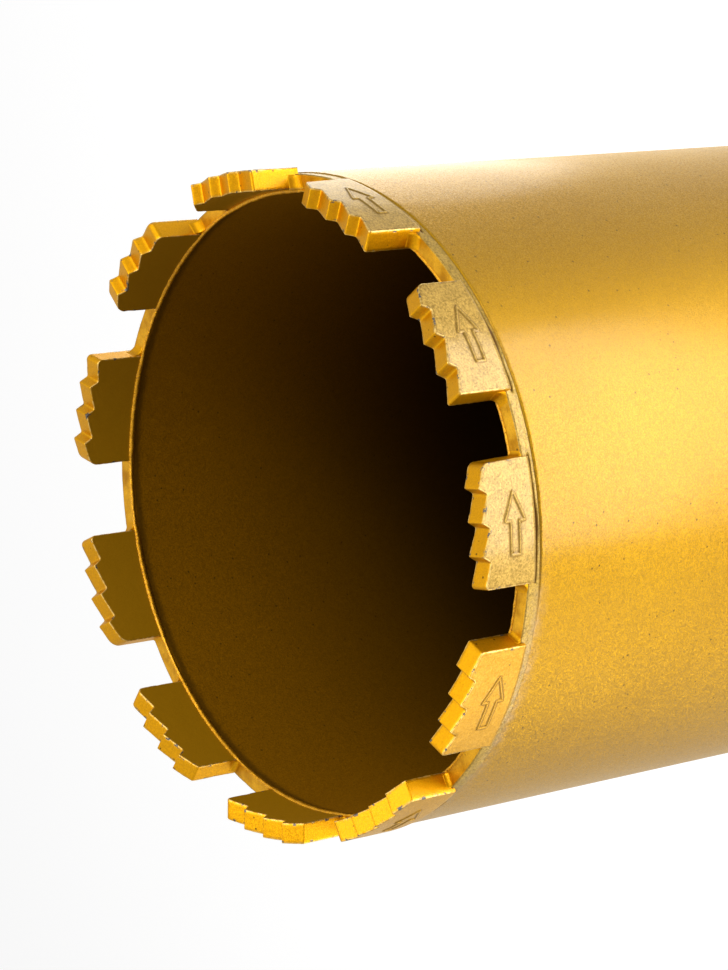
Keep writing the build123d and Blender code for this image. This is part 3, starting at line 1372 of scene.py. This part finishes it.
    def build(self, finishes: dict[Zone, bpy.types.Material]) -> bpy.types.Object:
        """Makes the tube.

        Args:
            finishes: the finish of each of its zones.

        Returns:
            The piece that stands for the barrel.
        """
        skin = Skin()
        face = [(r * MM, PLAN.rim_z) for r in np.linspace(62.25, 64.95, 9)]
        skin.patch(self.grid(self.outside()), Zone.OUTSIDE, around=True)
        skin.patch(self.grid(face), Zone.RIM, around=True)
        skin.patch(self.grid(self.inside()), Zone.BORE, around=True)
        piece = skin.object("barrel_tube", [finishes[zone] for zone in Zone])
        spots = places(piece)
        angle = np.arctan2(spots[:, 1], spots[:, 0])
        radius = np.hypot(spots[:, 0], spots[:, 1])
        below = PLAN.rim_z - spots[:, 2]
        outer, blend = radius > self.shell, 0.2 * MM
        rub = np.exp(-(((below - 2.9 * MM) / (1.4 * MM)) ** 2))
        note(piece, "joint", outer * (below < self.band_width) * self.joint(angle, spots[:, 2], spots))
        note(piece, "band", outer * np.clip((self.band_width + blend - below) / blend, 0, 1))
        note(piece, "worn", outer * rub * self.worn(angle))
        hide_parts("barrel")
        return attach(piece, "root")


@dataclass
class BrazeBead:
    """The uneven bead of braze round the rim's inner edge, fuller behind each segment.

    Fields:
        radius: of its path.
        height: of its path.
        thin: radius of the bead between two segments.
        full: how much fuller it is behind a segment.
        ripple: how far it swells in and out.
        ripple_size: size of the swells.
        points: how many its path has.
    """

    radius: float = 61.98 * MM
    height: float = 489.8 * MM
    thin: float = 0.36 * MM
    full: float = 0.26 * MM
    ripple: float = 0.42 * MM
    ripple_size: float = 1.6 * MM
    points: int = 900

    def recipe(self) -> Recipe:
        """Builds the tree that draws the bead along its path.

        Returns:
            The tree, ready to run.
        """
        sizes = {"Thickness": "Float", "Fullness": "Float", "Ripple": "Float", "Ripple size": "Float", "Seed": "Int"}
        tree = Recipe("bead_along_the_rim", sizes)
        path = tree.node("GeometryNodeMeshToCurve", inputs={0: tree.given["Geometry"]})
        profile = tree.node(
            "GeometryNodeCurvePrimitiveCircle", inputs={"Resolution": 10, "Radius": tree.given["Thickness"]}
        )
        bead = tree.node("GeometryNodeCurveToMesh", inputs={0: path.outputs[0], 1: profile.outputs[0]})
        behind = tree.node("GeometryNodeInputNamedAttribute", {"data_type": "FLOAT"}, {"Name": "behind"})
        full = tree.pushed(bead.outputs[0], tree.value(behind) * tree.size("Fullness"))
        tree.close(tree.swollen(full, "Ripple", "Ripple size"))
        return tree

    def build(self, finish: bpy.types.Material) -> bpy.types.Object:
        """Makes the bead.

        Args:
            finish: its paint.

        Returns:
            The piece.
        """
        angle, ease = angles(self.points)[0], 0.5 * MM
        links = [(index, (index + 1) % self.points) for index in range(self.points)]
        carrier = bare("bead_path", turned(self.radius, angle, self.height).tolist(), links)
        behind = np.zeros(self.points)
        for index in range(len(PLAN.forms)):
            along = np.abs(PLAN.from_middle(angle, index)) * self.radius
            behind += soft_step((along - PLAN.half_length) / ease)
        note(carrier, "behind", behind)
        values = {"Thickness": self.thin, "Fullness": self.full, "Ripple": self.ripple}
        values |= {"Ripple size": self.ripple_size, "Seed": 9, "Finish": finish}
        piece = self.recipe().run(carrier, values, "rim_braze_bead")
        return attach(piece, "root")


@dataclass
class WeldRing:
    """One ring of weld, made of ripples that overlap like fallen coins.

    Fields:
        name: the piece's name.
        radius: of the ring, in metres.
        height: of its middle.
        width: across the bead.
        rise: thickness of the bead.
        pitch: from one ripple to the next.
        tilt: how far the bead faces outward, in radians; 0 faces straight back.
        fallen: how far one ripple leans on the next, in radians.
    """

    name: str
    radius: float
    height: float
    width: float
    rise: float
    pitch: float = 1.5 * MM
    tilt: float = 0.0
    fallen: float = 0.35

    def recipe(self) -> Recipe:
        """Builds the tree that sets the ripples round the ring.

        Returns:
            The tree, ready to run.
        """
        sizes = {"Radius": "Float", "Count": "Int", "Width": "Float", "Rise": "Float", "Pitch": "Float"}
        tree = Recipe(f"{self.name}_ripples", {**sizes, "Tilt": "Float", "Seed": "Int"})
        ring = tree.node(
            "GeometryNodeMeshCircle", inputs={"Vertices": tree.given["Count"], "Radius": tree.given["Radius"]}
        )
        ripple = tree.node("GeometryNodeMeshUVSphere", inputs={"Segments": 8, "Rings": 5, "Radius": 1.0})
        index = tree.value(tree.node("GeometryNodeInputIndex"))
        angle = index * (tree.size("Count").math("POWER", -1.0) * TURN)
        aim = tree.node("ShaderNodeCombineXYZ", inputs={"X": self.fallen, "Y": tree.size("Tilt"), "Z": angle})
        dice = tree.node(
            "FunctionNodeRandomValue", {"data_type": "FLOAT"}, {2: 0.85, 3: 1.12, "Seed": tree.given["Seed"]}
        )
        size = tree.value(dice, 1)
        spread = tree.node(
            "ShaderNodeCombineXYZ",
            inputs={"X": tree.size("Width") * size, "Y": tree.size("Pitch") * 1.25, "Z": tree.size("Rise") * size},
        )
        row = tree.node(
            "GeometryNodeInstanceOnPoints",
            inputs={
                "Points": ring.outputs[0],
                "Instance": ripple.outputs[0],
                "Rotation": aim.outputs[0],
                "Scale": spread.outputs[0],
            },
        )
        tree.close(row.outputs[0])
        return tree

    def build(self, finish: bpy.types.Material, slot: str) -> bpy.types.Object:
        """Makes the ring.

        Args:
            finish: its paint.
            slot: the record's slot of that paint; not used.

        Returns:
            The piece.
        """
        count = round(TURN * self.radius / self.pitch)
        values = {"Radius": self.radius, "Count": count, "Width": self.width / 2, "Rise": self.rise}
        values |= {"Pitch": self.pitch, "Tilt": self.tilt, "Seed": 3, "Finish": finish}
        piece = self.recipe().run(bare("weld_start", [(0, 0, 0)]), values, self.name)
        piece.data.transform(Matrix.Translation((0, 0, self.height)))
        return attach(piece, "root")


@dataclass
class EndPlate:
    """The disc welded into the back of the barrel.

    Fields:
        hole: radius of its hole.
        middle: radius between the hole and the edge, where both faces have a row of points.
        radius: of its edge.
        back_z: height of its back face.
        front_z: height of its front face.
        edge: width of its chamfer.
        spacing: widest gap between two rows of points.
        columns: points round the disc.
    """

    hole: float = 21 * MM
    middle: float = 40 * MM
    radius: float = 62 * MM
    back_z: float = 40 * MM
    front_z: float = 48 * MM
    edge: float = 0.6 * MM
    spacing: float = 4 * MM
    columns: int = 256

    def build(self, paint: bpy.types.Material) -> bpy.types.Object:
        """Makes the disc.

        Args:
            paint: its paint.

        Returns:
            The piece that stands for the end plate.
        """
        section = [(radius, self.back_z) for radius in (self.hole, self.middle, self.radius)]
        section += [(self.radius, self.front_z - self.edge), (self.radius - self.edge, self.front_z)]
        section += [(self.middle, self.front_z), (self.hole, self.front_z), (self.hole, self.back_z)]
        outline = filled(np.array(section), self.spacing)
        skin = Skin()
        skin.patch(turned(outline[:, :1], angles(self.columns), outline[:, 1:]), around=True)
        piece = skin.object("end_plate_disc", [paint], CRISP)
        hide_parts("end_plate")
        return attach(piece, "root")


@dataclass
class DriveHub:
    """The threaded hub: wrench flats outside, a coarse thread right through for the water.

    Fields:
        radius: of its body.
        spigot: radius of the part that sits in the end plate.
        minor: the thread's smallest radius.
        major: its largest.
        pitch: from one turn of the thread to the next.
        plate_back: height of the end plate's back face.
        length: back face to the spigot's front.
        chamfer: width of the back edge's chamfer.
        mouth: depth of the thread's lead-in.
        flat: distance of a wrench flat from the axis.
        flat_from: height at which the flats start.
        flat_to: height at which they end.
        columns: points round the hub.
    """

    radius: float = 28 * MM
    spigot: float = 21 * MM
    minor: float = 14.1 * MM
    major: float = 15.85 * MM
    pitch: float = 25.4 / 7 * MM
    plate_back: float = 40 * MM
    length: float = 48 * MM
    chamfer: float = 1 * MM
    mouth: float = 1.8 * MM
    flat: float = 23 * MM
    flat_from: float = 10 * MM
    flat_to: float = 28 * MM
    columns: int = 240

    def wall(self) -> np.ndarray:
        """Lays the outside, with its flats.

        Returns:
            The points, from the mouth to the spigot's front.
        """
        angle, step = angles(self.columns), 0.05 * MM
        heights = [self.chamfer, 5 * MM, self.flat_from - step, self.flat_from + step, 14 * MM, 19 * MM, 24 * MM]
        heights += [self.flat_to - step, self.flat_to + step, 34 * MM, self.plate_back]
        outline = [(self.radius - self.chamfer, 0.0), *((self.radius, height) for height in heights)]
        outline += [(self.spigot, self.plate_back), (self.spigot, self.length)]
        flats = self.flat / np.maximum(np.abs(np.cos(angle)), 1e-6)
        rows = []
        for radius, height in outline:
            flattened = self.flat_from < height < self.flat_to
            rows.append(turned(np.minimum(radius, flats) if flattened else radius, angle, height)[0])
        return np.array(rows)

    def thread(self) -> np.ndarray:
        """Lays the threaded bore.

        Returns:
            The points, from the mouth to the spigot's front.
        """
        angle, rows_a_turn = angles(self.columns), 10
        height = np.linspace(0, self.length, round(self.length / self.pitch * rows_a_turn) + 1)[:, None]
        phase = (height / self.pitch - angle / TURN) % 1.0
        tooth = np.clip(np.abs(phase - 0.5) * 2.6 - 0.15, 0, 1)   # flat crest, straight flanks, flat root
        radius = self.minor + (self.major - self.minor) * tooth
        ends = np.minimum(height, self.length - height)
        return turned(np.maximum(radius, self.minor + np.clip(self.mouth - ends, 0, None)), angle, height)

    def build(self, paint: bpy.types.Material) -> bpy.types.Object:
        """Makes the hub.

        Args:
            paint: its paint.

        Returns:
            The piece that stands for the drive hub.
        """
        skin = Skin()
        wall, thread = self.wall(), self.thread()
        for grid in (wall, thread, np.array([wall[0], thread[0]]), np.array([wall[-1], thread[-1]])):
            skin.patch(grid, around=True)
        piece = skin.object("drive_hub_turned", [paint], CRISP)
        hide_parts("drive_hub")
        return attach(piece, "root")


# ------------------------------------------------------------------ stage
@dataclass(frozen=True)
class Lamp:
    """One soft lamp.

    Fields:
        name: its name.
        place: where it stands.
        aim: the point that it faces.
        size: its width and height.
        power: its power in watts.
    """

    name: str
    place: tuple[float, float, float]
    aim: tuple[float, float, float]
    size: tuple[float, float]
    power: float

    def build(self) -> None:
        """Sets the lamp."""
        data = bpy.data.lights.new(self.name, "AREA")
        data.shape, data.energy = "RECTANGLE", self.power
        data.size, data.size_y = self.size
        lamp = placed(self.name, data)
        lamp.location = self.place
        lamp.rotation_euler = (Vector(self.aim) - Vector(self.place)).to_track_quat("-Z", "Y").to_euler()
        lamp.visible_camera = False


@dataclass
class Studio:
    """Floor, light and camera.

    Fields:
        place: where the camera stands.
        right: its own right.
        up: its own up.
        lens: its focal length in millimetres, for the sensor's width.
        sensor: that width.
        white: colour of the floor's surface.
        glow: brightness added to the floor where it is the background.
        even: strength of the light from all round.
        half_floor: half of the floor's side.
        lamps: the soft lamps.
    """

    place: tuple[float, float, float] = (-0.01143, -0.51693, 0.88223)
    right: tuple[float, float, float] = (-0.15355, -0.60822, -0.77878)
    up: tuple[float, float, float] = (0.98792, -0.1113, -0.10786)
    lens: float = 121.94
    sensor: float = 36.0
    white: float = 0.8
    glow: float = 0.36
    even: float = 0.4
    half_floor: float = 6.0
    lamps: tuple[Lamp, ...] = (
        Lamp("low_front", (0.08, -0.46, 0.1), (0.0, 0.0, 0.42), (0.64, 0.16), 3.6),
        Lamp("low_side", (-0.75, -0.45, 0.15), (0.0, 0.0, 0.4), (0.7, 0.3), 4.9),
        Lamp("low_back", (0.34, 0.37, 0.1), (0.0, 0.0, 0.42), (0.5, 0.16), 0.8),
        Lamp("key_high", (0.8, -0.7, 1.6), (0.0, 0.0, 0.48), (0.6, 0.6), 12),
        Lamp("overhead", (0.12, 0.2, 1.9), (0.0, 0.0, 0.45), (0.8, 0.8), 10),
    )

    def camera(self) -> None:
        """Sets the camera."""
        data = bpy.data.cameras.new("view")
        data.sensor_width, data.lens, data.clip_start = self.sensor, self.lens, 0.01
        camera = placed("view", data)
        right, up = Vector(self.right).normalized(), Vector(self.up)
        up = (up - right * up.dot(right)).normalized()
        turn = Matrix((right, up, right.cross(up))).transposed().to_4x4()
        camera.matrix_world = Matrix.Translation(self.place) @ turn
        bpy.context.scene.camera = camera

    def floor(self) -> None:
        """Sets the pale floor, which keeps the bit's shadow."""
        material = bpy.data.materials.new("floor_white")
        graph = Graph(emptied(material))
        matt = graph.node("ShaderNodeBsdfDiffuse", inputs={"Color": (self.white,) * 3 + (1.0,)})
        glow = graph.node("ShaderNodeEmission", inputs={"Color": (1.0,) * 4, "Strength": self.seen(graph) * self.glow})
        both = graph.node("ShaderNodeAddShader", inputs={0: matt.outputs[0], 1: glow.outputs[0]})
        graph.node("ShaderNodeOutputMaterial", inputs={"Surface": both.outputs[0]})
        mesh, half = bpy.data.meshes.new("floor"), self.half_floor
        mesh.from_pydata([(-half, -half, 0), (half, -half, 0), (half, half, 0), (-half, half, 0)], [], [(0, 1, 2, 3)])
        mesh.materials.append(material)
        floor = placed("floor", mesh)
        floor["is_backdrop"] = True

    def seen(self, graph: Graph) -> Value:
        """Tells the rays that see the background from the light that falls on the bit.

        Args:
            graph: the tree that asks.

        Returns:
            1 for a ray that sees the background straight, in a reflection or through glass, else 0.
        """
        path = graph.node("ShaderNodeLightPath")
        total = graph.value(path, "Is Camera Ray") + graph.value(path, "Is Glossy Ray")
        return (total + graph.value(path, "Is Transmission Ray")).math("MINIMUM", 1.0)

    def world(self) -> None:
        """Sets the even light from all round."""
        world = bpy.data.worlds.new("studio")
        graph = Graph(emptied(world))
        strength = self.seen(graph) * (1 - self.even) + self.even
        light = graph.node("ShaderNodeBackground", inputs={"Color": (1.0,) * 4, "Strength": strength})
        graph.node("ShaderNodeOutputWorld", inputs={"Surface": light.outputs[0]})
        bpy.context.scene.world = world

    def build(self) -> None:
        """Sets everything that isn't the bit."""
        self.camera()
        self.floor()
        self.world()
        for lamp in self.lamps:
            lamp.build()
        bpy.context.scene.view_settings.view_transform = "Standard"


def main(cad_box: tuple[Vector, Vector]) -> None:
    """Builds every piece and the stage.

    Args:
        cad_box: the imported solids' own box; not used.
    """
    tube = TubePaint("tube_paint").build()
    back = Paint("back_paint").build()
    rim = Paint(
        "rim_paint", (0.6, 0.31, 0.012), (0.34, 0.145, 0.001), cloud=1.0, cloud_size=4 * MM,
        grain=1.6 * MM, relief=0.03 * MM, coat=0.1, sparkle=0.04, tilt=0.05,
    ).build()
    # The bore's second colour is the near black it darkens to with depth: painted shade.
    bore = BorePaint(
        "bore_paint", (0.275, 0.115, 0.001), (0.025, 0.009, 0.0), cloud=0.06, edge_tint=(1.0, 0.6, 0.1),
        metallic=0.35, roughness=0.6, coat=0.0, tilt=0.1,
    ).build()
    # The second colour darkens the segments' inner faces: painted shade.
    crown = SegmentPaint(
        "segment_paint", (0.55, 0.255, 0.001), (0.44, 0.21, 0.001), roughness=0.48, coat=0.06,
        sparkle=0.05, tilt=0.05, relief=0.0015 * MM,
    ).build()
    braze = Paint(
        "braze_paint", (0.6, 0.29, 0.01), (0.42, 0.19, 0.004), cloud=0.8, coat=0.2,
        grain=0.9 * MM, relief=0.05 * MM,
    ).build()
    for piece in (
        Crown().build(crown),
        Barrel().build({Zone.OUTSIDE: tube, Zone.RIM: rim, Zone.BORE: bore}),
        BrazeBead().build(braze),
        EndPlate().build(back),
        DriveHub().build(back),
        WeldRing("barrel_weld", 61.9 * MM, 40 * MM, 3.6 * MM, 0.9 * MM).build(back, "painted_back"),
        WeldRing("hub_weld", 28.3 * MM, 39.8 * MM, 4.6 * MM, 1.5 * MM, tilt=0.7).build(back, "painted_hub"),
    ):
        log.info("%s: %d faces", piece.name, len(piece.data.polygons))
    Studio().build()


if __name__ == "__main__":
    logging.basicConfig(level=logging.INFO, format="%(name)s %(message)s")
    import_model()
    main(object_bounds())
